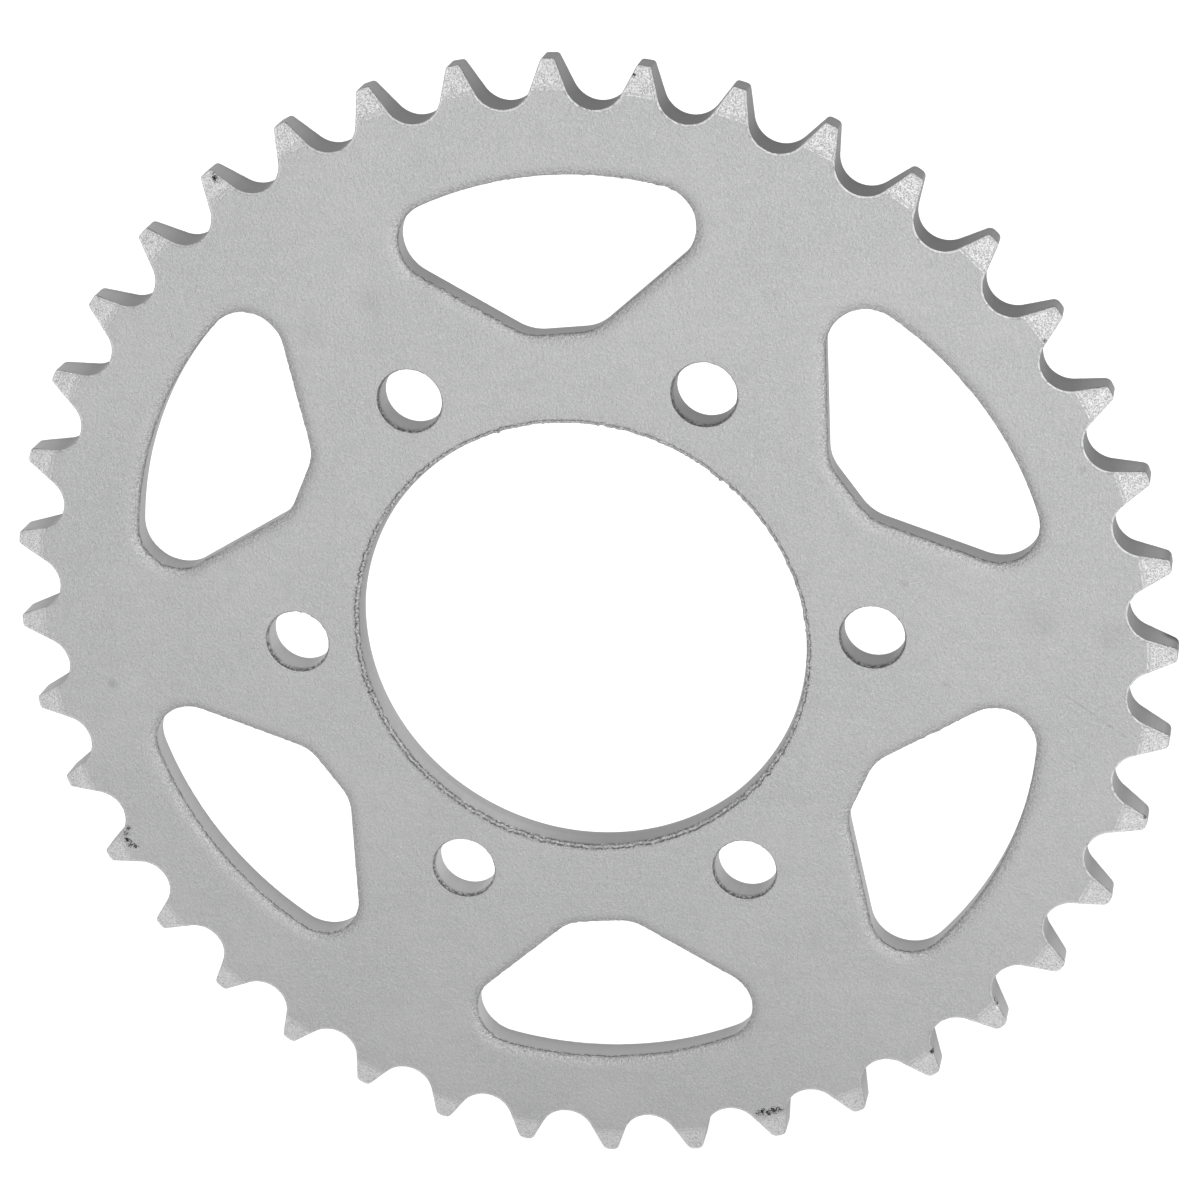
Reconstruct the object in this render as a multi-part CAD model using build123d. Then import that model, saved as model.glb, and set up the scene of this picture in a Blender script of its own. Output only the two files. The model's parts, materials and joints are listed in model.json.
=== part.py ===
from build123d import *
import os
from math import cos, hypot, pi, radians, sin, tan

# Rear chain sprocket of a motorcycle: one blanked steel plate, in millimetres.
# The frame is +Z up, with the wheel's axle along Y and the outboard face towards -Y.
# The origin is the centre of the bore, halfway through the plate.
# Every outline is drawn in the X-Z plane, seen from the outboard side, and angles
# count from +X towards +Z.

# Driving dimensions
TEETH = 40
CHAIN_PITCH = 15.875  # 5/8 inch, the 525 roller chain
SEAT_RADIUS = 5.13  # half the 10.16 mm roller, with its running allowance
FLANK_ANGLE = 64.5  # lean of the straight tooth flanks, from the rim's own direction
TIP_RADIUS = 104.2
TIP_CORNER = 0.35  # rounding of the two corners of each tooth tip
THICKNESS = 7.2  # fills the 7.94 mm between the chain's inner plates, with side play
TOOTH_TURN = 2.2  # degrees from the first bolt hole to the first tooth gap

BORE_RADIUS = 40.0
BORE_ROLL = 0.9  # rounded edge on the outboard face
BORE_BACK_BREAK = 1.0
BOLT_COUNT = 6
BOLT_CIRCLE = 104.0
BOLT_HOLE_RADIUS = 5.5
BOLT_HOLE_CHAMFER = 0.5
BOLT_HOLE_BACK_BREAK = 1.0

BEVEL_START = 100.3  # radius where the turned bevel of the tooth tips begins
BEVEL_DEPTH = 1.1  # how much each face has fallen away at the tip

# The lightening windows: each is symmetric about its own axis, and that axis leans
# a little and runs beside the centre of the plate.
WINDOW_COUNT = 6
WINDOW_FLAT = 12.1  # straight inner edge, before its corners are rounded
WINDOW_HEIGHT = 28.5  # from the inner edge to the top of the outer arc
WINDOW_FLANK_ANGLE = 35.2
WINDOW_ARC_RADIUS = 66.1
WINDOW_INNER_CORNER = 8.1
WINDOW_OUTER_CORNER = 7.3
WINDOW_INNER_EDGE = (1.77, 55.9)  # middle of the inner edge of the top window
WINDOW_LEAN = 2.7
WINDOW_ROLL = 1.5  # rounded edge that blanking leaves on the outboard face
WINDOW_BACK_BREAK = 0.8

PITCH_RADIUS = CHAIN_PITCH / (2 * sin(pi / TEETH))


def rim_point(along, height):
    """A point of one tooth gap, whose centre line is +X: along the rim, and out from the centre."""
    return Vector(height, along)


def gap_half_width(height):
    """Half the width of a tooth gap on its straight flank, at a distance from the centre."""
    lean = radians(FLANK_ANGLE)
    seat_end_height = PITCH_RADIUS - SEAT_RADIUS * cos(lean)
    return SEAT_RADIUS * sin(lean) + (height - seat_end_height) / tan(lean)


def tooth_gap():
    """The face that is cut away between two teeth, open beyond the tips."""
    lean = radians(FLANK_ANGLE)
    outside = TIP_RADIUS + 4
    seat_along = SEAT_RADIUS * sin(lean)
    seat_height = PITCH_RADIUS - SEAT_RADIUS * cos(lean)
    root = rim_point(0, PITCH_RADIUS - SEAT_RADIUS)
    seat_left = rim_point(-seat_along, seat_height)
    seat_right = rim_point(seat_along, seat_height)
    mouth_left = rim_point(-gap_half_width(outside), outside)
    mouth_right = rim_point(gap_half_width(outside), outside)
    edges = [
        Line(mouth_left, seat_left),
        ThreePointArc(seat_left, root, seat_right),
        Line(seat_right, mouth_right),
        Line(mouth_right, mouth_left),
    ]
    return make_face(edges)


def toothed_disc():
    """The plate's outer outline as a face, with its tooth tips slightly rounded."""
    gap = tooth_gap()
    gaps = []
    for index in range(TEETH):
        gaps.append(Rot(0, 0, TOOTH_TURN + index * 360 / TEETH) * gap)
    disc = Circle(TIP_RADIUS) - gaps
    tip_corners = []
    for vertex in disc.vertices():
        if hypot(vertex.X, vertex.Y) > TIP_RADIUS - 0.01:
            tip_corners.append(vertex)
    return fillet(tip_corners, TIP_CORNER)


def window():
    """One lightening window as a face, with the middle of its inner edge at the origin."""
    reach = 2 * WINDOW_ARC_RADIUS
    half_flat = WINDOW_FLAT / 2
    side = radians(WINDOW_FLANK_ANGLE)
    far_along = half_flat + reach * cos(side)
    far_height = reach * sin(side)
    wedge = make_face(
        Polyline(
            (-half_flat, 0),
            (half_flat, 0),
            (far_along, far_height),
            (-far_along, far_height),
            close=True,
        )
    )
    outer_arc = Pos(0, WINDOW_HEIGHT - WINDOW_ARC_RADIUS) * Circle(WINDOW_ARC_RADIUS)
    opening = wedge & outer_arc
    inner_corners = opening.vertices().group_by(Axis.Y)[0]
    opening = fillet(inner_corners, WINDOW_INNER_CORNER)
    outer_corners = opening.vertices().group_by(Axis.X)
    return fillet([outer_corners[0][0], outer_corners[-1][0]], WINDOW_OUTER_CORNER)


def windows():
    """All the windows in their places round the plate."""
    placed = Pos(*WINDOW_INNER_EDGE) * Rot(0, 0, WINDOW_LEAN) * window()
    return [Rot(0, 0, index * 360 / WINDOW_COUNT) * placed for index in range(WINDOW_COUNT)]


def bolt_holes():
    """The bolt holes, the first one on the +X side."""
    places = PolarLocations(BOLT_CIRCLE / 2, BOLT_COUNT)
    return [place * Circle(BOLT_HOLE_RADIUS) for place in places]


def bevel_envelope():
    """A solid of revolution that trims both faces of the tooth tips to their bevel."""
    half = THICKNESS / 2
    overshoot = 3
    slope = BEVEL_DEPTH / (TIP_RADIUS - BEVEL_START)
    rim = TIP_RADIUS + overshoot
    rim_half = half - slope * (rim - BEVEL_START)
    profile = make_face(
        Polyline(
            (0, -half),
            (BEVEL_START, -half),
            (rim, -rim_half),
            (rim, rim_half),
            (BEVEL_START, half),
            (0, half),
            close=True,
        )
    )
    return revolve(profile, axis=Axis.Y)


def edges_on_face(plate, inner, outer, side):
    """Edges that lie on one face of the plate, between two distances from the centre."""
    found = []
    for edge in plate.edges():
        middle = edge @ 0.5
        start = edge @ 0
        flat = abs(middle.Y - side * THICKNESS / 2) < 1e-4 and abs(start.Y - middle.Y) < 1e-4
        if flat and inner < hypot(middle.X, middle.Z) < outer:
            found.append(edge)
    return found


def rings(edges, radius):
    """Those of the edges that are full circles of one radius."""
    circles = [edge for edge in edges if edge.geom_type == GeomType.CIRCLE]
    return [edge for edge in circles if edge.is_closed and abs(edge.radius - radius) < 0.01]


def window_edges(plate, side):
    """The edges of the windows on one face: what lies between the bore and the teeth
    and isn't the ring of a bolt hole."""
    found = []
    for edge in edges_on_face(plate, BORE_RADIUS + 2, PITCH_RADIUS - 2 * SEAT_RADIUS, side):
        if not (edge.geom_type == GeomType.CIRCLE and edge.is_closed):
            found.append(edge)
    return found


def bolt_hole_edges(plate, side):
    """The rings of the bolt holes on one face."""
    reach = 2 * BOLT_HOLE_RADIUS
    nearby = edges_on_face(plate, BOLT_CIRCLE / 2 - reach, BOLT_CIRCLE / 2 + reach, side)
    return rings(nearby, BOLT_HOLE_RADIUS)


def bore_edges(plate, side):
    """The ring of the bore on one face."""
    return rings(edges_on_face(plate, 0, BOLT_CIRCLE / 2, side), BORE_RADIUS)


def sprocket_plate():
    """The finished plate. Blanking rounds the outboard edges and breaks out the inboard ones."""
    outline = toothed_disc() - Circle(BORE_RADIUS) - bolt_holes() - windows()
    plate = extrude(Plane.XZ * outline, amount=THICKNESS / 2, both=True)
    plate = plate & bevel_envelope()

    outboard = -1
    plate = fillet(window_edges(plate, outboard), WINDOW_ROLL)
    plate = fillet(bore_edges(plate, outboard), BORE_ROLL)
    plate = chamfer(bolt_hole_edges(plate, outboard), BOLT_HOLE_CHAMFER)

    inboard = 1
    plate = chamfer(window_edges(plate, inboard), WINDOW_BACK_BREAK)
    plate = chamfer(bore_edges(plate, inboard), BORE_BACK_BREAK)
    return chamfer(bolt_hole_edges(plate, inboard), BOLT_HOLE_BACK_BREAK)


def main():
    os.makedirs("parts", exist_ok=True)
    plate = sprocket_plate()
    plate.label = "sprocket_plate"
    export_step(plate, "parts/sprocket_plate.step")


main()
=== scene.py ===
import cmath
import json
import math
from collections import namedtuple

import bmesh
import bpy
import numpy as np
from mathutils import Matrix, Vector, noise
from mathutils.geometry import delaunay_2d_cdt


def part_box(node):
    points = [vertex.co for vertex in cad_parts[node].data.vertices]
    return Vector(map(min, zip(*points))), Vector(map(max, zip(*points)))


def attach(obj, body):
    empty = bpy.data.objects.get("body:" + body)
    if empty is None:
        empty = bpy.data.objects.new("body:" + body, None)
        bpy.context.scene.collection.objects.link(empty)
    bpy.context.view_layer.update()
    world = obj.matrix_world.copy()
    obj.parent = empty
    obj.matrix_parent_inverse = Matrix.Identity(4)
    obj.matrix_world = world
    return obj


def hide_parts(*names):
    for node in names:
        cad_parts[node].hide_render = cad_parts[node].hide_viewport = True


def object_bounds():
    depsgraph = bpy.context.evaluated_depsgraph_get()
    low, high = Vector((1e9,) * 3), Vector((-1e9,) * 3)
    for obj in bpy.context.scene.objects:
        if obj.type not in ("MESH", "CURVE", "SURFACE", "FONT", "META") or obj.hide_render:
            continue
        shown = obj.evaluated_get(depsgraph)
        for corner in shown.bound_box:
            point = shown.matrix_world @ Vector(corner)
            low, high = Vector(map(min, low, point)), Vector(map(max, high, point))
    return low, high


# The looks of a motorcycle's rear chain sprocket. One visible piece stands for the CAD plate: the
# same outline and thickness, with the edges that blanking, piercing and turning leave on steel.
#
# Lengths are in millimetres until a vertex, lamp or camera is placed, where MM turns them into
# metres. A point of the plate is a complex number: the real part is X and the imaginary part Z,
# seen from the outboard side, which faces -Y.

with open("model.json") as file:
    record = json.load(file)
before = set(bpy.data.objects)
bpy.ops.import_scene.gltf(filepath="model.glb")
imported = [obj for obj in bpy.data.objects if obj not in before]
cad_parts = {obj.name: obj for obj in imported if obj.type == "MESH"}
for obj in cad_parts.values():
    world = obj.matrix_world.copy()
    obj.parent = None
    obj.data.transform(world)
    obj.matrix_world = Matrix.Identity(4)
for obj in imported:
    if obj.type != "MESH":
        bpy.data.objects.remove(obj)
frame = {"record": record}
CAD_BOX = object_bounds()

MM = 0.001
NODE = "sprocket_plate"
LOW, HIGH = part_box(NODE)
MOUNTS = {mount["name"]: mount["dims"] for mount in frame["record"]["mounts"]}

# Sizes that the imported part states
HALF = (HIGH.y - LOW.y) / 2 / MM
BORE_RADIUS = MOUNTS["bore"]["r_mm"]
BOLT_COUNT = MOUNTS["bolt_circle"]["count"]
BOLT_CIRCLE_RADIUS = MOUNTS["bolt_circle"]["pcd_mm"] / 2
BOLT_HOLE_RADIUS = MOUNTS["bolt_circle"]["hole_r_mm"]

# The teeth, as the CAD part has them
TEETH = 40
CHAIN_PITCH = 15.875
SEAT_RADIUS = 5.13
FLANK_ANGLE = math.radians(64.5)
TIP_RADIUS = 104.2
TOOTH_TURN = math.radians(2.2)
PITCH_RADIUS = CHAIN_PITCH / (2 * math.sin(math.pi / TEETH))
TOOTH_STEP = 2 * math.pi / TEETH

# Rounding of the tooth tips, from degrees round the plate to millimetres. Blasting and handling
# have softened the outboard corners of the lower teeth, and the inboard corners of them all.
FRONT_CORNERS = ([0, 15, 150, 200, 235, 262, 325, 360], [0.45, 0.2, 0.3, 0.5, 0.9, 1.3, 1.2, 0.45])
BACK_CORNERS = ([0, 25, 50, 75, 105, 140, 165, 360], [1.2, 1.45, 1.4, 0.8, 0.8, 1.0, 1.4, 1.2])

# Painted shade and light on the cut walls, standing in for how the lamps fall on them: from degrees
# round the plate to a factor. The second table is for the walls that end the teeth, and counts
# fully from the second radius of TOOTH_END_RADII on.
TOOTH_WALL_PAINTED_SHADE = (
    [0, 40, 80, 115, 150, 170, 200, 290, 340, 360],
    [1.08, 0.8, 0.78, 1.05, 1.3, 1.4, 1.2, 1.12, 1.25, 1.08],
)
TOOTH_END_PAINTED_SHADE = ([0, 30, 320, 345, 360], [0.6, 1.0, 1.0, 0.6, 0.6])
TOOTH_END_RADII = [103.2, 104.0]
BORE_WALL_PAINTED_LIGHT = ([0, 180, 205, 245, 270, 360], [1.0, 1.0, 1.25, 1.32, 1.0, 1.0])

# The same from the distance to the centre to a factor: painted shade darkening the roots, and the
# dark lips, partly painted shadow, only outwards
TOOTH_WALL_SHADE_OUTWARDS = ([96.0, 98.5, 101.0, TIP_RADIUS], [0.66, 0.72, 0.88, 1.0])
TOOTH_LIP_OUTWARDS = ([100.5, 102.5], [0.15, 1.0])

# The same for the painted light on walls that grows steadily across the plate: the factor at the
# plate's centre, its growth per millimetre, and the direction of growth
WINDOW_WALL_PAINTED_LIGHT = (1.05, 0.002, complex(-0.5, -0.85))
BOLT_HOLE_WALL_PAINTED_LIGHT = (1.13, 0.0059, complex(-0.69, -0.72))

# The lightening windows, as the CAD part has them
WINDOW_COUNT = 6
WINDOW_HALF_FLAT = 6.05
WINDOW_HEIGHT = 28.5
WINDOW_FLANK = math.radians(35.2)
WINDOW_ARC_RADIUS = 66.1
WINDOW_INNER_CORNER = 8.1
WINDOW_OUTER_CORNER = 7.3
WINDOW_INNER_EDGE = complex(1.77, 55.9)
WINDOW_LEAN = math.radians(2.7)

# The turned tips: how far each face has fallen away at each radius. Fine steps show where the
# lathe tool entered, and the plain bevel runs from the last one to the tip.
TURNED_RADII = [99.1, 99.3, 99.62, 99.86, 100.78, 101.0, TIP_RADIUS]
TURNED_FALL = [0.0, 0.09, 0.09, 0.21, 0.4, 0.4, 1.1]
BEVEL_START = TURNED_RADII[0]

# How finely the outlines are divided
SEAT_STEPS = 12
FLANK_RADII = [99.1, 99.3, 99.62, 99.86, 100.3, 100.78, 101.0, 101.7, 102.4, 102.9]
CORNER_STEPS = 5
HALF_LAND_STEPS = 1
LEAST_CORNER = 0.05
WINDOW_SPACING = 0.5
BORE_STEPS = 760
BOLT_HOLE_STEPS = 84
SHARP_ANGLE = math.radians(17)

# The loose grid that fills the flat faces: the spacing along a row, the spacing of the rows as a
# share of it, and how near to an edge a point may lie as a share of it
SEED_SPACING = 4.0
SEED_ROW_SHARE = math.sqrt(0.75)
SEED_CLEARANCE = 0.45

# Torn edges: the size of their fine and coarse teeth, and the length over which they come and go
FINE_TEAR = 0.55
COARSE_TEAR = 1.3
TEAR_STRETCH = 11.0
TEAR_GAIN = 1.6
LEAST_TEAR = 0.25

# Where each kind of edge starts in the noise. The windows and the bolt holes count on from theirs.
WINDOW_SEED = 2.0
BORE_SEED = 9.0
BOLT_HOLE_SEED = 12.0
TOOTH_DEPTH_SEED = 60
TOOTH_INSET_SEED = 64
BRUISE_SEED = 7.0

FRONT, MIDDLE, BACK = -1, 0, 1

# One line of points round an outline, at one place of the edge's cross-section. inset is how far
# the line lies inside the steel. depth counts from the face that side names, or for MIDDLE is a
# share of the half thickness. jag is how raggedly the line wanders. wall, roll, lip and shade are
# what the material reads: lip darkens a torn lip and paints the shadow under it, and shade is
# painted light and shade on a wall, how light it is drawn there.
Row = namedtuple("Row", "inset side depth wall roll lip jag shade", defaults=(0, 0, 0, 0, 1))

# Where a painted shadow blackens the inboard edge of a tooth: degrees round the plate, radius,
# reach. It darkens between two heights, inboard of the plate's middle.
BACK_RIM_SHADOW = (358.3, 104.0, 3.2)
BACK_RIM_SHADOW_HEIGHTS = [1.0, 1.9]
BACK_RIM_SHADOW_SHARE = 0.9

# Small places where a tooth's edge is bruised: degrees round the plate, radius, reach
BRUISE_DEPTH = 0.3
BRUISE_GRAIN = 0.4
NICKS = [
    (332.5, 100.9, 0.75),
    (314.2, 100.1, 0.65),
    (305.3, 99.9, 0.55),
    (32.3, 99.6, 0.5),
    (123.2, 103.0, 0.8),
    (349.3, 98.6, 0.5),
]

# Bright bare metal beside the bruises, painted near white as glints, partly a painted highlight:
# degrees round the plate, radius, reach, strength
GLINTS = [
    (332.9, 100.6, 0.5, 1.0),
    (314.1, 100.7, 0.8, 1.0),
    (305.6, 99.4, 0.5, 0.9),
    (32.7, 99.4, 0.4, 0.9),
    (123.7, 102.2, 0.4, 0.7),
]

# A fine scratch on the face, from one end to the other: degrees round the plate, radius
SCRATCH = [(353.0, 84.6), (348.5, 97.6)]

# Dark residue left on the plating: degrees round the plate, radius, reach, strength
STAINS = [
    (202.6, 96.9, 1.3, 1.0),
    (203.1, 97.9, 1.5, 1.0),
    (203.8, 98.3, 1.6, 1.0),
    (204.4, 98.2, 1.6, 1.0),
    (204.8, 97.6, 1.4, 1.0),
    (284.6, 98.0, 1.3, 0.95),
    (285.1, 98.0, 1.5, 1.0),
    (285.7, 98.4, 1.6, 1.0),
    (286.4, 98.2, 1.6, 1.0),
    (286.9, 98.3, 1.5, 1.0),
    (287.2, 98.6, 1.0, 0.8),
    (315.2, 98.8, 0.8, 0.95),
    (314.9, 99.6, 1.6, 1.7),
    (314.5, 100.4, 1.4, 1.5),
    (332.5, 100.9, 1.3, 1.3),
    (340.5, 103.5, 0.9, 1.6),
    (305.3, 99.9, 1.2, 1.3),
    (324.1, 100.6, 0.9, 0.9),
    (123.0, 103.3, 1.0, 1.0),
    (123.1, 102.6, 1.3, 1.3),
    (123.2, 102.0, 1.0, 1.0),
    (79.5, 102.5, 0.8, 1.5),
    (32.3, 99.6, 1.0, 1.0),
]

# How much depth counts in the reach of a mark, so that marks follow the turned tips down
SPOT_SQUASH = 0.35

# Faint smudges on the face: degrees round the plate, radius, reach, strength
SMUDGES = [
    (185.2, 88.6, 1.5, 0.5),
    (18.7, 94.4, 1.3, 0.35),
    (10.0, 58.9, 1.2, 0.35),
    (352.0, 64.8, 1.2, 0.3),
    (45.0, 49.4, 1.0, 0.25),
    (33.0, 53.6, 1.0, 0.25),
    (106.8, 68.8, 4.5, 0.22),
    (115.9, 70.5, 4.0, 0.2),
    (125.8, 72.0, 4.0, 0.15),
    (2.0, 81.0, 6.0, 0.2),
    (0.0, 93.0, 5.0, 0.2),
]


# ---- Outlines ----------------------------------------------------------------------------


def turned(angle):
    """The unit direction at an angle."""
    return cmath.exp(1j * angle)


def reach_circle(start, direction, radius):
    """Where a straight line from start along a unit direction meets the circle round the origin."""
    along = (start * direction.conjugate()).real
    return start + direction * (math.sqrt(along**2 - abs(start) ** 2 + radius**2) - along)


def gap_side(inset, corner):
    """Half a tooth gap and half a tooth, from the gap's root to the middle of the tip.
    The gap's centre line is the real axis. corner is the rounding of the tip."""
    flank = complex(math.sin(FLANK_ANGLE), math.cos(FLANK_ANGLE))
    to_gap = complex(math.cos(FLANK_ANGLE), -math.sin(FLANK_ANGLE))
    seat = SEAT_RADIUS + inset
    points = []
    for step in range(SEAT_STEPS + 1):
        points.append(PITCH_RADIUS - seat * turned(-FLANK_ANGLE * step / SEAT_STEPS))
    seat_end = points[-1]
    for radius in FLANK_RADII:
        points.append(reach_circle(seat_end, flank, radius))
    centre = reach_circle(seat_end - corner * to_gap, flank, TIP_RADIUS - inset - corner)
    start = cmath.phase(to_gap)
    sweep = cmath.phase(centre) - start
    for step in range(CORNER_STEPS + 1):
        points.append(centre + corner * turned(start + sweep * step / CORNER_STEPS))
    land_start = cmath.phase(points[-1])
    land_sweep = TOOTH_STEP / 2 - land_start
    for step in range(1, HALF_LAND_STEPS + 1):
        share = step / HALF_LAND_STEPS
        points.append((TIP_RADIUS - inset) * turned(land_start + land_sweep * share))
    return points


def tip_corner(angle, share):
    """The rounding of the tooth tips at an angle, from the outboard face to the inboard one."""
    degrees = math.degrees(angle) % 360
    front = np.interp(degrees, *FRONT_CORNERS)
    back = np.interp(degrees, *BACK_CORNERS)
    return front + (back - front) * share


def toothed_outline(inset, share):
    """The whole toothed outline, counter-clockwise, at a share of the way through the plate.
    Each gap gives its points from just past the middle of one tip, down through its root and
    up to the middle of the next tip."""
    points = []
    for index in range(TEETH):
        angle = TOOTH_TURN + index * TOOTH_STEP
        side = gap_side(inset, max(LEAST_CORNER, tip_corner(angle, share) - inset))
        gap = [point.conjugate() for point in side[-2:0:-1]] + side
        points.extend(point * turned(angle) for point in gap)
    return points


def arc(centre, radius, start, end, spacing):
    """Points of an arc without its last one, and the directions from its centre."""
    steps = max(2, round(abs(end - start) * radius / spacing))
    directions = [turned(start + (end - start) * step / steps) for step in range(steps)]
    return [centre + radius * direction for direction in directions], directions


def straight(start, end, into, spacing):
    """Points of a straight stretch without its last one, and the direction into the steel."""
    steps = max(2, round(abs(end - start) / spacing))
    return [start + (end - start) * step / steps for step in range(steps)], [into] * steps


def window_outline():
    """One window in its own frame, with its inner edge's middle at the origin, and the direction
    into the steel at each point."""
    down = -math.pi / 2
    flank = turned(WINDOW_FLANK)
    inner_centre = complex(
        WINDOW_HALF_FLAT - WINDOW_INNER_CORNER * math.tan(WINDOW_FLANK / 2), WINDOW_INNER_CORNER
    )
    arc_centre = complex(0, WINDOW_HEIGHT - WINDOW_ARC_RADIUS)
    offset_line = WINDOW_HALF_FLAT + WINDOW_OUTER_CORNER * 1j * flank - arc_centre
    outer_reach = WINDOW_ARC_RADIUS - WINDOW_OUTER_CORNER
    outer_centre = arc_centre + reach_circle(offset_line, flank, outer_reach)
    flank_down = WINDOW_FLANK + down
    flank_start = inner_centre + WINDOW_INNER_CORNER * turned(flank_down)
    flank_end = outer_centre + WINDOW_OUTER_CORNER * turned(flank_down)
    top = cmath.phase(outer_centre - arc_centre)
    pieces = [
        straight(0j, complex(inner_centre.real, 0), -1j, WINDOW_SPACING),
        arc(inner_centre, WINDOW_INNER_CORNER, down, flank_down, WINDOW_SPACING),
        straight(flank_start, flank_end, turned(flank_down), WINDOW_SPACING),
        arc(outer_centre, WINDOW_OUTER_CORNER, flank_down, top, WINDOW_SPACING),
        arc(arc_centre, WINDOW_ARC_RADIUS, top, math.pi / 2, WINDOW_SPACING),
    ]
    points = [point for piece in pieces for point in piece[0]]
    into = [direction for piece in pieces for direction in piece[1]]
    points.append(complex(0, WINDOW_HEIGHT))
    into.append(1j)
    mirrored = [-point.conjugate() for point in points[-2:0:-1]]
    mirrored_into = [-direction.conjugate() for direction in into[-2:0:-1]]
    return points + mirrored, into + mirrored_into


def placed_windows():
    """All six windows in their places round the plate."""
    points, into = window_outline()
    outlines = []
    for index in range(WINDOW_COUNT):
        turn = turned(index * 2 * math.pi / WINDOW_COUNT)
        lean = turned(WINDOW_LEAN) * turn
        placed = [WINDOW_INNER_EDGE * turn + point * lean for point in points]
        outlines.append((placed, [direction * lean for direction in into]))
    return outlines


def ring_outline(centre, radius, count):
    """A round hole, and the direction into the steel at each point."""
    directions = [turned(2 * math.pi * step / count) for step in range(count)]
    return [centre + radius * direction for direction in directions], directions


# ---- Edge cross-sections, from the outboard face to the inboard one --------------------------


def rolled(width, lip_inset, depth, steps):
    """Rows of a rolled edge, which steepens from the face to its lip."""
    rows = []
    for step in range(steps + 1):
        share = step / steps
        inset = lip_inset + (width - lip_inset) * (1 - share)
        rows.append(Row(inset, FRONT, depth * share**3, 0, share**2))
    return rows


def window_rows():
    """Blanked edge: a wide rolled rim, a torn lip, and the sheared wall, which opens inboard.
    A negative inset lies inside the opening."""
    # The shade values paint the wall lighter near the lip and darker towards the inboard face:
    # painted shade.
    return [
        Row(4.2, FRONT, 0),
        *rolled(2.7, 0.0, 0.72, 6),
        Row(-0.2, FRONT, 1.05, 0, 1, 0.1, 0.1),
        Row(-0.24, FRONT, 1.25, 1, 0.3, 0.9, 0.11),
        Row(-0.34, FRONT, 1.5, 1, 0, 0.15, 0.05, 1.05),
        Row(-0.34, FRONT, 2.0, 1, 0, 0, 0, 1.08),
        Row(-0.25, MIDDLE, 0.1, 1, 0, 0, 0, 1.04),
        Row(-0.1, MIDDLE, 0.5, 1, 0, 0, 0, 0.96),
        Row(0.1, BACK, 0.95, 1, 0, 0, 0, 0.84),
        Row(0.22, BACK, 0.7, 1, 0, 0, 0.03, 0.75),
        Row(0.75, BACK, 0.08, 0.4),
        Row(1.0, BACK, 0),
    ]


def bore_rows():
    """Pierced and bored edge: a ragged step, a rough band, a torn lip and the bored wall, which
    opens a little towards both faces."""
    # The shade values paint the wall a little darker near the lip and towards the inboard face:
    # painted shade.
    return [
        Row(4.0, FRONT, 0),
        Row(1.5, FRONT, 0, 0, 0.25),
        Row(1.12, FRONT, 0.03, 0, 0.6, 0.3, 0.17),
        Row(1.0, FRONT, 0.2, 0.3, 1, 0.9, 0.2),
        Row(0.8, FRONT, 0.21, 0, 1, 0.2, 0.2),
        Row(0.6, FRONT, 0.25, 0, 1, 0.1, 0.2),
        Row(0.42, FRONT, 0.36, 0, 1, 0.4, 0.2),
        Row(0.42, FRONT, 0.66, 1, 0.4, 1, 0.13),
        Row(0.32, FRONT, 0.9, 1, 0, 0.35, 0.04, 0.92),
        Row(0.29, FRONT, 1.2, 1, 0, 0, 0, 0.92),
        Row(0.0, FRONT, 2.5, 1, 0, 0, 0, 0.98),
        Row(0.0, MIDDLE, 0.1, 1, 0, 0, 0, 1.04),
        Row(0.42, BACK, 1.8, 1, 0, 0, 0, 1.02),
        Row(0.5, BACK, 1.2, 1, 0, 0, 0, 0.95),
        Row(1.1, BACK, 0.08, 0.4),
        Row(1.35, BACK, 0),
    ]


def bolt_hole_rows():
    """Pierced bolt hole: a small rolled rim, a bruised lip and a rough wall."""
    # The lip values paint a dark rim, partly painted shadow; the shade values darken the wall
    # inboard as painted shade.
    return [
        Row(1.6, FRONT, 0),
        *rolled(0.8, 0.38, 0.15, 3),
        Row(0.29, FRONT, 0.24, 0.4, 0.5, 0.7, 0.05),
        Row(0.21, FRONT, 0.45, 1, 0.2, 1, 0.06),
        Row(0.12, FRONT, 0.75, 1, 0, 0.7, 0.03),
        Row(0.0, FRONT, 1.4, 1),
        Row(0.0, MIDDLE, 0.0, 1),
        Row(0.0, MIDDLE, 0.4, 1, 0, 0, 0, 0.96),
        Row(0.2, BACK, 1.2, 1, 0, 0, 0, 0.93),
        Row(0.45, BACK, 0.7, 1, 0, 0, 0, 0.9),
        Row(1.0, BACK, 0.08, 0.4),
        Row(1.25, BACK, 0),
    ]


def tooth_rows():
    """Cut tooth edge: almost sharp outboard, with a burr painted bright as a highlight, and softer
    inboard.
    """
    # The shade values darken the wall towards the inboard face: painted shade.
    return [
        Row(0.48, FRONT, 0),
        Row(0.32, FRONT, 0, 0, 0.6),
        Row(0.18, FRONT, 0.03, 0, 1, 0, 0.03),
        Row(0.04, FRONT, 0.15, 0, 1, 0, 0.04),
        Row(0.0, FRONT, 0.28, 1, 0, 1, 0.03),
        Row(0.0, FRONT, 0.6, 1),
        Row(0.0, MIDDLE, -0.35, 1),
        Row(0.0, MIDDLE, 0.1, 1),
        Row(0.0, MIDDLE, 0.55, 1, 0, 0, 0, 0.94),
        Row(0.0, BACK, 0.5, 1, 0, 0, 0, 0.87),
        Row(0.09, BACK, 0.18, 1, 0, 0, 0, 0.78),
        Row(0.28, BACK, 0.02, 0.5),
        Row(0.5, BACK, 0),
    ]


# ---- Mesh --------------------------------------------------------------------------------


def half_thickness(radius):
    """Half the plate's thickness, which the turning takes down towards the tips."""
    return HALF - float(np.interp(radius, TURNED_RADII, TURNED_FALL))


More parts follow.
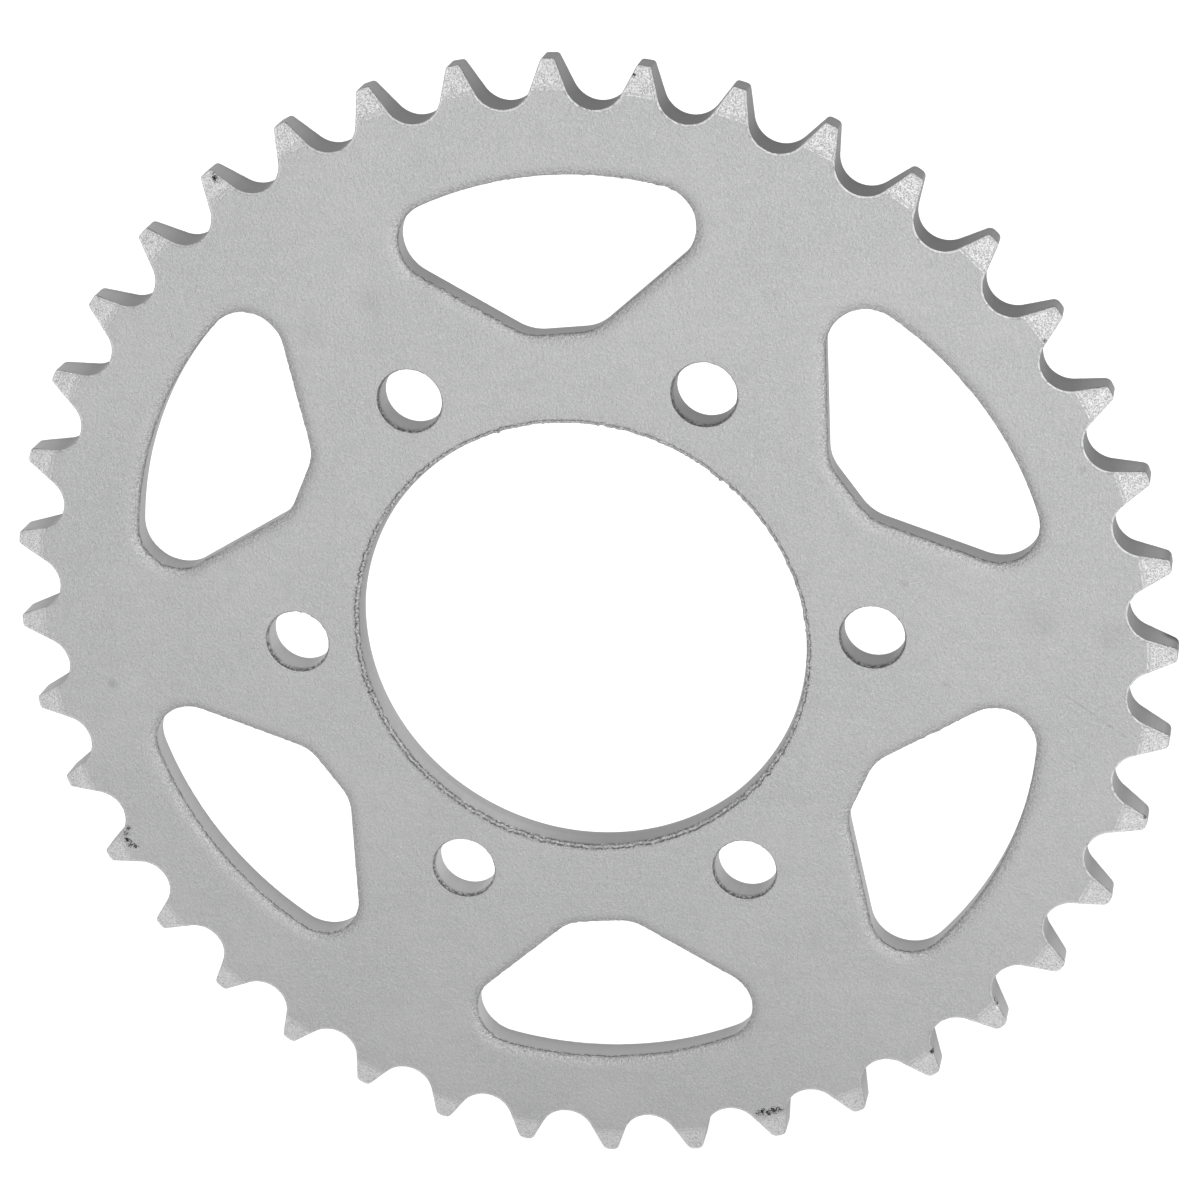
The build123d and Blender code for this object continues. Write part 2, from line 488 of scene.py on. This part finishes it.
def height_at(point, side, depth):
    """The Y of a point of the plate, outboard being negative."""
    half = half_thickness(abs(point))
    if side == FRONT:
        return depth - half
    if side == BACK:
        return half - depth
    return depth * half


def wander(point, size, seed):
    """Smooth noise from -1 to 1 that repeats on every run."""
    return noise.noise(Vector((point.real / size, point.imag / size, seed)))


def raggedness(point, seed):
    """How far a torn edge strays here: fine teeth whose size comes and goes along the edge."""
    fine = wander(point, FINE_TEAR, seed) + 0.7 * wander(point, COARSE_TEAR, seed + 20)
    spread = 0.75 + 1.1 * wander(point, TEAR_STRETCH, seed + 40)
    return TEAR_GAIN * fine * max(LEAST_TEAR, spread)


def nearness(point, angle, radius, reach):
    """1 at the place that an angle in degrees and a radius give, falling to 0 at its reach."""
    away = abs(point - radius * turned(math.radians(angle))) / reach
    return max(0.0, 1 - away)


def bruise(point):
    """How deep the bruises of the tooth edges are here, in millimetres."""
    deep = 0.0
    for nick in NICKS:
        rough = 1 + wander(point, BRUISE_GRAIN, BRUISE_SEED)
        deep += BRUISE_DEPTH * nearness(point, *nick) * rough
    return deep


def back_rim_shadow(point, height):
    """How much the painted shadow blackens the inboard edge of the teeth here."""
    inboard = float(np.interp(height, BACK_RIM_SHADOW_HEIGHTS, [0.0, 1.0]))
    return BACK_RIM_SHADOW_SHARE * min(1.0, 2 * nearness(point, *BACK_RIM_SHADOW)) * inboard


def around(point, degrees, values):
    """A value that changes with the angle round the plate."""
    return float(np.interp(math.degrees(cmath.phase(point)) % 360, degrees, values))


def across(point, middle, growth, direction):
    """A value that grows steadily across the plate, along a direction."""
    return middle + growth * (point * direction.conjugate()).real


def tooth_wall_shade(point):
    """The painted shade of the cut wall of the teeth: darker in the root of a gap and lighter
    outwards, darkest on the upper teeth, and darker again on the ends of the teeth at the right."""
    outwards = float(np.interp(abs(point), *TOOTH_WALL_SHADE_OUTWARDS))
    end = float(np.interp(abs(point), TOOTH_END_RADII, [1.0, around(point, *TOOTH_END_PAINTED_SHADE)]))
    return outwards * around(point, *TOOTH_WALL_PAINTED_SHADE) * end


def window_wall_shade(point):
    """The painted light on the wall of a window: lighter towards the lower left of the plate."""
    return across(point, *WINDOW_WALL_PAINTED_LIGHT)


def bore_wall_shade(point):
    """The painted light on the wall of the bore: lighter at its lower left."""
    return around(point, *BORE_WALL_PAINTED_LIGHT)


def bolt_hole_wall_shade(point):
    """The painted light on the wall of a bolt hole: lighter towards the lower left of the plate."""
    return across(point, *BOLT_HOLE_WALL_PAINTED_LIGHT)


class PlateMesh:
    """Collects the points, faces and painted values of the plate."""

    def __init__(self):
        self.flat = []
        self.heights = []
        self.painted = []
        self.faces = []

    def add(self, point, height, wall=0.0, roll=0.0, lip=0.0, shade=1.0):
        """Adds a point with its painted values, and returns its index."""
        self.flat.append(point)
        self.heights.append(height)
        self.painted.append((wall, roll, lip, shade))
        return len(self.flat) - 1

    def bridge(self, near, far):
        """Quads between two closed rows with the same number of points."""
        for index, start in enumerate(near):
            after = (index + 1) % len(near)
            self.faces.append((start, near[after], far[after], far[index]))

    def bridge_rows(self, rows):
        """Quads between each closed row and the next one."""
        for near, far in zip(rows, rows[1:]):
            self.bridge(near, far)


def opening(mesh, outline, rows, seed, wall_shade):
    """The edge of one window or hole. Returns its first and last rows, which lie on the faces.
    wall_shade gives the painted light and shade of its wall at a point."""
    made = []
    for row in rows:
        line = []
        for point, into in zip(*outline):
            inset = row.inset + row.jag * raggedness(point, seed)
            moved = point + inset * into
            depth = row.depth
            if row.jag:
                depth = max(0.0, depth + row.jag * raggedness(point, seed + 3))
            height = height_at(moved, row.side, depth)
            # Painted light and shade on the wall, by row and by place
            shade = row.shade * wall_shade(point)
            line.append(mesh.add(moved, height, row.wall, row.roll, row.lip, shade))
        made.append(line)
    mesh.bridge_rows(made)
    return made[0], made[-1]


def toothed_edge(mesh):
    """The edge of all the teeth. Returns its first and last rows, which lie on the faces."""
    edge = toothed_outline(0, 0)
    rows = tooth_rows()
    made = []
    for number, row in enumerate(rows):
        outline = toothed_outline(row.inset, number / (len(rows) - 1))
        line = []
        for point, above in zip(outline, edge):
            moved = point
            depth = row.depth
            if row.jag:
                torn = row.jag * raggedness(above, TOOTH_DEPTH_SEED)
                depth = max(0.0, depth + torn + bruise(above))
                back_off = bruise(above) + row.jag * max(0, raggedness(above, TOOTH_INSET_SEED))
                moved -= back_off * turned(cmath.phase(point))
            height = height_at(moved, row.side, depth)
            lip = row.lip * float(np.interp(abs(point), *TOOTH_LIP_OUTWARDS))
            # Painted shade on the tooth wall, darkened further by the painted shadow of the inboard
            # rim
            shade = row.shade * tooth_wall_shade(point) * (1 - back_rim_shadow(point, height))
            line.append(mesh.add(moved, height, row.wall, row.roll, lip, shade))
        made.append(line)
    mesh.bridge_rows(made)
    return made[0], made[-1]


def tooth_faces(mesh, edge_row, side):
    """The turned face of every tooth, between its two flanks. Returns the closed boundary that
    is left for the flat of the plate: gap bottoms, and the line across each tooth's foot."""
    per_gap = len(edge_row) // TEETH
    root = per_gap // 2 - 1
    first = SEAT_STEPS + 1 + FLANK_RADII.index(BEVEL_START)
    corner = SEAT_STEPS + 1 + len(FLANK_RADII)
    columns = 2 * (CORNER_STEPS + HALF_LAND_STEPS)
    boundary = []
    for tooth in range(TEETH):
        this_gap = tooth * per_gap + root
        next_gap = this_gap + per_gap
        boundary.extend(edge_row[this_gap + step] for step in range(-first, first + 1))
        rows = []
        for step in range(first, corner):
            left = edge_row[this_gap + step]
            right = edge_row[(next_gap - step) % len(edge_row)]
            middle = []
            for column in range(1, columns):
                point = on_arc(mesh.flat[left], mesh.flat[right], column / columns)
                middle.append(mesh.add(point, height_at(point, side, 0)))
            rows.append([left, *middle, right])
        tip = range(this_gap + corner, this_gap + corner + columns + 1)
        rows.append([edge_row[index % len(edge_row)] for index in tip])
        for near, far in zip(rows, rows[1:]):
            for column in range(columns):
                mesh.faces.append(
                    (near[column], near[column + 1], far[column + 1], far[column])
                )
        boundary.extend(rows[0][1:-1])
    return boundary


def on_arc(start, end, share):
    """The point at a share of the way round from start to end, round the plate's centre."""
    turn = cmath.phase(end / start)
    radius = abs(start) + (abs(end) - abs(start)) * share
    return radius * turned(cmath.phase(start) + turn * share)


def inside(points, loops):
    """Which points lie in the steel between the loops, by counting crossings."""
    starts = np.concatenate([np.array(loop) for loop in loops])
    ends = np.concatenate([np.roll(np.array(loop), -1) for loop in loops])
    rise = ends.imag - starts.imag
    rise[rise == 0] = 1e-12
    slope = (ends.real - starts.real) / rise
    found = []
    for point in points:
        spans = (starts.imag > point.imag) != (ends.imag > point.imag)
        crossing = starts.real + (point.imag - starts.imag) * slope
        found.append(np.count_nonzero(spans & (crossing > point.real)) % 2 == 1)
    return found


def seeds_between(loops):
    """A loose triangular grid of points for the inside of a flat face."""
    edges = np.concatenate([np.array(loop) for loop in loops])
    rows = int(2 * TIP_RADIUS / (SEED_SPACING * SEED_ROW_SHARE))
    grid = []
    for row in range(rows):
        height = (row - rows / 2) * SEED_SPACING * SEED_ROW_SHARE
        shift = SEED_SPACING / 2 * (row % 2)
        for column in range(int(2 * TIP_RADIUS / SEED_SPACING)):
            grid.append(complex(column * SEED_SPACING - TIP_RADIUS + shift, height))
    kept = [point for point, steel in zip(grid, inside(grid, loops)) if steel]
    clearance = SEED_SPACING * SEED_CLEARANCE
    return [point for point in kept if np.abs(edges - point).min() > clearance]


def flat_face(mesh, rings, side):
    """Triangles that fill one face of the plate between closed rows of points."""
    loops = [[mesh.flat[index] for index in ring] for ring in rings]
    seeds = seeds_between(loops)
    indices = [index for ring in rings for index in ring]
    indices += [mesh.add(point, side * HALF) for point in seeds]
    corners = [Vector((mesh.flat[index].real, mesh.flat[index].imag)) for index in indices]
    edges = []
    start = 0
    for ring in rings:
        count = len(ring)
        edges += [(start + step, start + (step + 1) % count) for step in range(count)]
        start += count
    made = delaunay_2d_cdt(corners, edges, [], 0, 1e-6)
    source = [indices[origin[0]] for origin in made[3]]
    triangles = [tuple(source[corner] for corner in triangle) for triangle in made[2]]
    middles = [sum(mesh.flat[index] for index in triangle) / 3 for triangle in triangles]
    for triangle, steel in zip(triangles, inside(middles, loops)):
        if steel:
            mesh.faces.append(triangle)


def build_plate():
    """The whole plate as one closed mesh."""
    mesh = PlateMesh()
    ends = []
    for number, outline in enumerate(placed_windows()):
        seed = WINDOW_SEED + number
        ends.append(opening(mesh, outline, window_rows(), seed, window_wall_shade))
    bore = ring_outline(0j, BORE_RADIUS, BORE_STEPS)
    ends.append(opening(mesh, bore, bore_rows(), BORE_SEED, bore_wall_shade))
    for index in range(BOLT_COUNT):
        centre = BOLT_CIRCLE_RADIUS * turned(index * 2 * math.pi / BOLT_COUNT)
        outline = ring_outline(centre, BOLT_HOLE_RADIUS, BOLT_HOLE_STEPS)
        seed = BOLT_HOLE_SEED + index
        ends.append(opening(mesh, outline, bolt_hole_rows(), seed, bolt_hole_wall_shade))
    front_edge, back_edge = toothed_edge(mesh)
    front = tooth_faces(mesh, front_edge, FRONT)
    back = tooth_faces(mesh, back_edge, BACK)
    flat_face(mesh, [front] + [end[0] for end in ends], FRONT)
    flat_face(mesh, [back] + [end[1] for end in ends], BACK)
    return mesh


def plate_object(mesh):
    """Turns the collected mesh into a Blender object, with outward normals and crisp edges."""
    data = bpy.data.meshes.new("sprocket_plate_visual")
    corners = [
        (point.real * MM, height * MM, point.imag * MM)
        for point, height in zip(mesh.flat, mesh.heights)
    ]
    data.from_pydata(corners, [], mesh.faces)
    for number, name in enumerate(("wall", "roll", "lip", "shade")):
        attribute = data.attributes.new(name, "FLOAT", "POINT")
        values = np.array([painted[number] for painted in mesh.painted], np.float32)
        attribute.data.foreach_set("value", values)
    work = bmesh.new()
    work.from_mesh(data)
    bmesh.ops.recalc_face_normals(work, faces=work.faces)
    work.to_mesh(data)
    work.free()
    data.shade_smooth()
    data.set_sharp_from_angle(angle=SHARP_ANGLE)
    piece = bpy.data.objects.new("sprocket_plate_visual", data)
    bpy.context.scene.collection.objects.link(piece)
    return piece


# ---- Materials ---------------------------------------------------------------------------


def grey(level, tint=0.0):
    """A colour of one linear level, a little greener by tint."""
    return (level * (1 - tint), level, level * (1 - tint / 2), 1.0)


# The plated face: its grain between two greys, and the greys of the patches on it
GRAIN_DARK = grey(0.4, 0.012)
GRAIN_LIGHT = grey(0.53, 0.006)
PEEL_GREY = grey(0.36, 0.01)
CLOUD_GREY = grey(0.5)
MOTTLE_GREY = grey(0.41, 0.012)
STREAK_GREY = grey(0.42, 0.01)

# The rolled edges, the burr on the teeth with its painted highlight, the turned tips, the cut
# walls, and the torn lips with their painted shadow
BAND_DARK = grey(0.27)
BAND_LIGHT = grey(0.6)
BURR_HIGHLIGHT_GREY = grey(0.78)
TURNED_GREY = grey(0.66)
PIT_GREY = grey(0.45)
WALL_DARK = grey(0.42)
WALL_LIGHT = grey(0.47)
TORN_LIP_SHADOW_GREY = grey(0.1)

# What lies on the plating or has laid it bare, and the painted highlight of the glints
SMUDGE_GREY = grey(0.25, 0.01)
RESIDUE_GREY = grey(0.03)
BARE_METAL_GLINT_GREY = grey(0.95)

# The floor
FLOOR_DARK = grey(0.38)
FLOOR_LIGHT = grey(0.42)


class Shading:
    """A short way to build one node tree. Each call adds a node and returns its output."""

    def __init__(self, tree):
        self.tree = tree
        tree.nodes.clear()

    def node(self, kind, inputs, output=0, **settings):
        """A node of any kind, with its inputs linked to outputs or set to values."""
        made = self.tree.nodes.new(kind)
        for name, value in settings.items():
            setattr(made, name, value)
        for socket, value in inputs.items():
            if isinstance(value, bpy.types.NodeSocket):
                self.tree.links.new(value, made.inputs[socket])
            else:
                made.inputs[socket].default_value = value
        return made.outputs[output] if made.outputs else made

    def painted(self, name):
        """One of the values that are painted on the mesh."""
        return self.node("ShaderNodeAttribute", {}, "Fac", attribute_name=name)

    def math(self, operation, first, second=0.0, third=0.0, clamp=False):
        """One operation on numbers."""
        inputs = {0: first, 1: second, 2: third}
        return self.node("ShaderNodeMath", inputs, operation=operation, use_clamp=clamp)

    def times(self, first, second):
        """The product of two numbers."""
        return self.math("MULTIPLY", first, second)

    def vector(self, operation, inputs, output="Vector"):
        """One operation on vectors."""
        return self.node("ShaderNodeVectorMath", inputs, output, operation=operation)

    def dot(self, first, second):
        """The dot product of two vectors."""
        return self.vector("DOT_PRODUCT", {0: first, 1: second}, "Value")

    def stretch(self, where, factors):
        """A vector with each axis multiplied by its own factor."""
        return self.vector("MULTIPLY", {0: where, 1: factors})

    def scale(self, vector, factor):
        """A vector or a colour multiplied by one number."""
        return self.vector("SCALE", {0: vector, "Scale": factor})

    def ramp(self, value, low, high, out_low=0.0, out_high=1.0):
        """value from low to high, smoothly turned into out_low to out_high."""
        inputs = {0: value, 1: low, 2: high, 3: out_low, 4: out_high}
        return self.node("ShaderNodeMapRange", inputs, interpolation_type="SMOOTHSTEP")

    def mix(self, share, first, second):
        """One colour blended into another by a share."""
        inputs = {0: share, 6: first, 7: second}
        return self.node("ShaderNodeMix", inputs, 2, data_type="RGBA", clamp_factor=True)

    def blend(self, share, first, second):
        """One number blended into another by a share."""
        inputs = {0: share, 2: first, 3: second}
        return self.node("ShaderNodeMix", inputs, 0, data_type="FLOAT", clamp_factor=True)

    def noise(self, where, scale, detail=2.0, roughness=0.5, stretch=None, curl=0.0):
        """Noise with scale features to each unit of where, stretched along the axes and curled
        into worm-like shapes."""
        if stretch:
            where = self.stretch(where, stretch)
        inputs = {
            "Vector": where,
            "Scale": scale,
            "Detail": detail,
            "Roughness": roughness,
            "Distortion": curl,
        }
        return self.node("ShaderNodeTexNoise", inputs, "Fac")

    def spot(self, where, centre, reach):
        """1 at a centre, falling smoothly to 0 at its reach."""
        away = self.vector("DISTANCE", {0: where, 1: centre}, "Value")
        return self.ramp(away, 0.0, reach, 1.0, 0.0)


def face_place(angle, radius, squash=1.0):
    """A place on the outboard face from degrees round the plate and a radius. squash scales Y."""
    point = radius * turned(math.radians(angle))
    return (point.real, -HALF * squash, point.imag)


def strongest(shading, where, spots):
    """The strongest of a list of spots on the outboard face."""
    total = None
    squashed = shading.stretch(where, (1, SPOT_SQUASH, 1))
    for angle, radius, reach, strength in spots:
        spot = shading.spot(squashed, face_place(angle, radius, SPOT_SQUASH), reach)
        spot = shading.times(spot, strength)
        total = spot if total is None else shading.math("MAXIMUM", total, spot)
    return total


def scratch_mask(shading, where):
    """A thin broken line across the face."""
    start, end = [Vector(face_place(angle, radius)) for angle, radius in SCRATCH]
    length = (end - start).length
    fade = 1.5
    along = (end - start).normalized()
    across_it = Vector((-along.z, 0, along.x))
    offset = shading.vector("SUBTRACT", {0: where, 1: start})
    run = shading.dot(offset, along)
    side = shading.math("ABSOLUTE", shading.dot(offset, across_it))
    line = shading.ramp(side, 0.05, 0.3, 1.0, 0.0)
    begun = shading.ramp(run, 0.0, fade)
    ended = shading.ramp(run, length - fade, length, 1.0, 0.0)
    broken = shading.ramp(shading.noise(where, 0.8), 0.35, 0.6)
    return shading.times(shading.times(line, shading.times(begun, ended)), broken)


def stain_mask(shading, where):
    """Dark residue: spots that are dense in the middle and break up into crumbs outwards."""
    crumbs = shading.noise(where, 4.6, 3.0, 0.7)
    level = shading.math("MULTIPLY_ADD", strongest(shading, where, STAINS), 0.34, crumbs)
    return shading.ramp(level, 0.74, 0.82)


def glint_mask(shading, where):
    """Bright bare metal beside each bruise of the tooth edges, painted near white as a highlight.
    """
    broken = shading.ramp(shading.noise(where, 2.2, 2.0, 0.6), 0.44, 0.52)
    return shading.times(strongest(shading, where, GLINTS), broken)


def lathe_mask(shading, radius, open_face):
    """Where the lathe has cut the faces: a fine line at its first step, faint cutting after that,
    and the whole of the tips from the second step on."""
    first_step = shading.ramp(radius, BEVEL_START - 0.05, BEVEL_START + 0.05)
    after_step = shading.ramp(radius, BEVEL_START + 0.15, BEVEL_START + 0.3, 1.0, 0.3)
    tips = shading.ramp(radius, BEVEL_START + 0.5, BEVEL_START + 0.65)
    cut = shading.math("MAXIMUM", tips, shading.times(first_step, after_step))
    return shading.times(cut, open_face)


def plating_tone(shading, where, peel, grain):
    """The blasted and plated face: fine grain with paler and duller patches and faint streaks."""
    cloud = shading.noise(where, 0.045, 3.0, 0.55)
    mottle = shading.noise(where, 0.28, 3.0, 0.6)
    streak = shading.noise(where, 0.5, 2.0, 0.5, (0.35, 1.0, 1.6))
    tone = shading.mix(shading.ramp(grain, 0.32, 0.68), GRAIN_DARK, GRAIN_LIGHT)
    tone = shading.mix(shading.ramp(peel, 0.3, 0.6, 0.45, 0.0), tone, PEEL_GREY)
    tone = shading.mix(shading.ramp(cloud, 0.4, 0.7, 0.0, 0.3), tone, CLOUD_GREY)
    tone = shading.mix(shading.ramp(mottle, 0.48, 0.72, 0.0, 0.4), tone, MOTTLE_GREY)
    return shading.mix(shading.ramp(streak, 0.45, 0.75, 0.0, 0.3), tone, STREAK_GREY)


def rolled_tone(shading, where, radius):
    """The specked band of a rolled edge. At the teeth it is a bright broken burr with a painted
    highlight, which is strongest at the upper right, where the edges face the light."""
    specks = shading.ramp(shading.noise(where, 3.4, 2.0, 0.7), 0.36, 0.64)
    band = shading.mix(specks, BAND_DARK, BAND_LIGHT)
    at_teeth = shading.ramp(radius, 94.0, 95.5)
    upper_right = shading.dot(where, (0.8, 0.0, 0.6))
    burr_highlight = shading.ramp(shading.noise(where, 0.9, 2.0, 0.6), 0.36, 0.5)
    burr_highlight = shading.times(burr_highlight, at_teeth)
    burr_highlight = shading.times(burr_highlight, shading.ramp(upper_right, 0.0, 70.0, 0.3, 1.0))
    return shading.mix(burr_highlight, band, BURR_HIGHLIGHT_GREY)


def with_torn_lip_shadows(shading, where, tone, lip):
    """A tone with dark broken lines at the lips: partly dark torn steel, partly painted shadow
    under the burr.
    """
    torn = shading.ramp(shading.noise(where, 1.9, 2.0, 0.6), 0.38, 0.54)
    return shading.mix(shading.times(shading.times(lip, torn), 0.9), tone, TORN_LIP_SHADOW_GREY)


def with_smudges(shading, where, tone):
    """A tone with the smudges and the scratch."""
    smudge = shading.times(strongest(shading, where, SMUDGES), 0.8)
    scratch = shading.times(scratch_mask(shading, where), 0.3)
    return shading.mix(shading.math("MAXIMUM", smudge, scratch), tone, SMUDGE_GREY)


def steel_relief(shading, where, finish):
    """How high the surface stands, in millimetres: grain on the faces, a rougher rolled edge,
    pits in the turned tips, and the lines of shearing on the walls."""
    relief = shading.times(finish["peel"], 0.2)
    relief = shading.math("MULTIPLY_ADD", finish["grain"], 0.05, relief)
    rough_band = shading.times(shading.noise(where, 2.2, 3.0, 0.65), finish["roll"])
    relief = shading.math("MULTIPLY_ADD", rough_band, 0.22, relief)
    relief = shading.times(relief, finish["open_face"])
    pitted = shading.times(finish["pits"], finish["cut"])
    relief = shading.math("MULTIPLY_ADD", pitted, -0.06, relief)
    sheared = shading.times(shading.times(finish["shear"], finish["wall"]), 0.03)
    return shading.math("ADD", relief, sheared)


def steel_finish(shading, where, radius):
    """What the tone, the gloss and the relief share: the painted values and the grain."""
    finish = {name: shading.painted(name) for name in ("wall", "roll", "lip", "shade")}
    finish["open_face"] = shading.math("SUBTRACT", 1.0, finish["wall"], clamp=True)
    finish["cut"] = lathe_mask(shading, radius, finish["open_face"])
    finish["peel"] = shading.noise(where, 2.0, 3.0, 0.6, (1.0, 1.0, 0.8), 0.6)
    finish["grain"] = shading.noise(where, 4.8, 2.0, 0.6)
    finish["pits"] = shading.ramp(shading.noise(where, 3.8, 2.0, 0.7), 0.46, 0.66)
    finish["shear"] = shading.noise(where, 1.8, 2.0, 0.5, (1.0, 0.08, 1.0))
    finish["stain"] = stain_mask(shading, where)
    return finish


def steel_tone(shading, where, radius, finish):
    """The colour of the plate: face, rolled edges, tips and walls with their painted shade, and
    then the marks on them, with painted shadow at the lips and painted highlights on the burr and
    at the glints.
    """
    tone = plating_tone(shading, where, finish["peel"], finish["grain"])
    band = rolled_tone(shading, where, radius)
    tone = shading.mix(shading.times(finish["roll"], 0.75), tone, band)
    tone = shading.mix(finish["cut"], tone, shading.mix(finish["pits"], TURNED_GREY, PIT_GREY))
    wall_tone = shading.mix(finish["shear"], WALL_DARK, WALL_LIGHT)
    # Painted light and shade on the walls, from the painted shade values
    wall_tone = shading.scale(wall_tone, finish["shade"])
    tone = shading.mix(finish["wall"], tone, wall_tone)
    # Dark lips: torn steel, and painted shadow under the burr
    tone = with_torn_lip_shadows(shading, where, tone, finish["lip"])
    tone = with_smudges(shading, where, tone)
    tone = shading.mix(finish["stain"], tone, RESIDUE_GREY)
    # Painted highlights: glints of bare metal beside the bruises
    return shading.mix(glint_mask(shading, where), tone, BARE_METAL_GLINT_GREY)


def steel_gloss(shading, finish):
    """The roughness of the plate: most even on the walls, and dull where residue lies."""
    gloss = shading.blend(finish["wall"], shading.ramp(finish["peel"], 0.3, 0.7, 0.46, 0.58), 0.5)
    gloss = shading.blend(finish["cut"], gloss, shading.ramp(finish["pits"], 0.0, 1.0, 0.42, 0.6))
    gloss = shading.blend(finish["roll"], gloss, 0.5)
    return shading.blend(finish["stain"], gloss, 0.8)


def plated_steel():
    """Zinc plating over blasted steel, with its own finish on walls, rolled edges and tips."""
    material = bpy.data.materials.new("zinc_plated_steel")
    material.use_nodes = True
    shading = Shading(material.node_tree)
    coordinates = shading.node("ShaderNodeTexCoord", {}, "Object")
    where = shading.scale(coordinates, 1 / MM)
    radius = shading.vector("LENGTH", {0: shading.stretch(where, (1, 0, 1))}, "Value")
    finish = steel_finish(shading, where, radius)
    relief = steel_relief(shading, where, finish)
    bump = shading.node(
        "ShaderNodeBump", {"Strength": 1.0, "Distance": MM, "Height": relief}, "Normal"
    )
    surface = shading.node(
        "ShaderNodeBsdfPrincipled",
        {
            "Base Color": steel_tone(shading, where, radius, finish),
            "Metallic": 1.0,
            "Roughness": steel_gloss(shading, finish),
            "Normal": bump,
        },
    )
    shading.node("ShaderNodeOutputMaterial", {"Surface": surface})
    return material


def floor_material():
    """A plain pale studio sweep, lightly mottled. It glows evenly to the eye, so that it stays
    pale and shadows on it stay faint. It lights the plate more from the right in front than
    from behind."""
    material = bpy.data.materials.new("pale_floor")
    material.use_nodes = True
    shading = Shading(material.node_tree)
    where = shading.node("ShaderNodeTexCoord", {}, "Object")
    mottle = shading.noise(where, 3.0, 2.0)
    toward_key = shading.dot(where, (0.4, -0.9, 0.0))
    seen = shading.node("ShaderNodeLightPath", {}, "Is Camera Ray")
    glow = shading.blend(seen, shading.ramp(toward_key, -0.3, 0.6, 0.34, 1.05), 0.8)
    surface = shading.node(
        "ShaderNodeBsdfPrincipled",
        {
            "Base Color": shading.mix(mottle, FLOOR_DARK, FLOOR_LIGHT),
            "Roughness": 0.9,
            "Emission Color": (1.0, 1.0, 1.0, 1.0),
            "Emission Strength": glow,
        },
    )
    shading.node("ShaderNodeOutputMaterial", {"Surface": surface})
    return material


# ---- Studio ------------------------------------------------------------------------------


def studio_floor():
    """A wide round floor at the height of the lowest tooth."""
    data = bpy.data.meshes.new("studio_floor")
    work = bmesh.new()
    bmesh.ops.create_circle(work, cap_ends=True, segments=96, radius=12.0)
    work.to_mesh(data)
    work.free()
    floor = bpy.data.objects.new("studio_floor", data)
    floor.location.z = CAD_BOX[0].z
    bpy.context.scene.collection.objects.link(floor)
    floor.data.materials.append(floor_material())


def soft_world():
    """An even studio: bright to the right in front of the plate, a little brighter overhead, and
    dimmer behind and to the left."""
    world = bpy.data.worlds.new("soft_studio")
    bpy.context.scene.world = world
    world.use_nodes = True
    shading = Shading(world.node_tree)
    direction = shading.node("ShaderNodeTexCoord", {}, "Generated")
    toward_key = shading.dot(direction, (0.62, -0.64, 0.1))
    height = shading.node("ShaderNodeSeparateXYZ", {0: direction}, "Z")
    front = shading.ramp(toward_key, -0.4, 0.95, 0.0, 0.95)
    above = shading.ramp(height, 0.1, 0.95, 0.0, 0.25)
    strength = shading.math("ADD", shading.math("ADD", front, above), 0.46)
    seen = shading.node("ShaderNodeLightPath", {}, "Is Camera Ray")
    strength = shading.blend(seen, strength, 1.05)
    background = shading.node(
        "ShaderNodeBackground", {"Color": (1.0, 1.0, 1.0, 1.0), "Strength": strength}
    )
    shading.node("ShaderNodeOutputWorld", {"Surface": background})


def softbox(name, place, size, power):
    """A square lamp that faces the plate's centre. place is in metres from there."""
    lamp = bpy.data.lights.new(name, "AREA")
    lamp.shape = "SQUARE"
    lamp.size = size
    lamp.energy = power
    box = bpy.data.objects.new(name, lamp)
    box.location = place
    box.rotation_mode = "QUATERNION"
    box.rotation_quaternion = (-Vector(place)).to_track_quat("-Z", "Y")
    bpy.context.scene.collection.objects.link(box)


def lights():
    """The key at the right in front, a large box overhead, and one at the left behind."""
    softbox("key_softbox", (1.1, -1.15, -0.1), 0.9, 2.9)
    softbox("top_softbox", (0.0, -0.1, 1.7), 1.2, 0.8)
    softbox("left_softbox", (-1.2, 0.7, 0.5), 0.8, 1.6)


def camera():
    """Looks at the outboard face from its right and above, with a long lens, slightly tilted."""
    azimuth = math.radians(13.619)
    elevation = math.radians(21.644)
    roll = math.radians(-5.635)
    distance = 640.74
    target = Vector((3.501, 0.0, 6.088))
    forward = Vector(
        (
            -math.sin(azimuth) * math.cos(elevation),
            math.cos(azimuth) * math.cos(elevation),
            -math.sin(elevation),
        )
    )
    level = Vector((math.cos(azimuth), math.sin(azimuth), 0.0))
    upright = level.cross(forward)
    right = math.cos(roll) * level + math.sin(roll) * upright
    up = math.cos(roll) * upright - math.sin(roll) * level
    data = bpy.data.cameras.new("photo_camera")
    data.lens = 109.02
    data.sensor_width = 36.0
    made = bpy.data.objects.new("photo_camera", data)
    turn = Matrix((right, up, -forward)).transposed()
    made.matrix_world = Matrix.Translation((target - forward * distance) * MM) @ turn.to_4x4()
    bpy.context.scene.collection.objects.link(made)
    bpy.context.scene.camera = made


def main():
    """Builds the plate, its studio and the camera."""
    bpy.context.scene.view_settings.view_transform = "Standard"
    piece = plate_object(build_plate())
    piece.data.materials.append(plated_steel())
    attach(piece, "root")
    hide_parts(NODE)
    studio_floor()
    soft_world()
    lights()
    camera()


main()
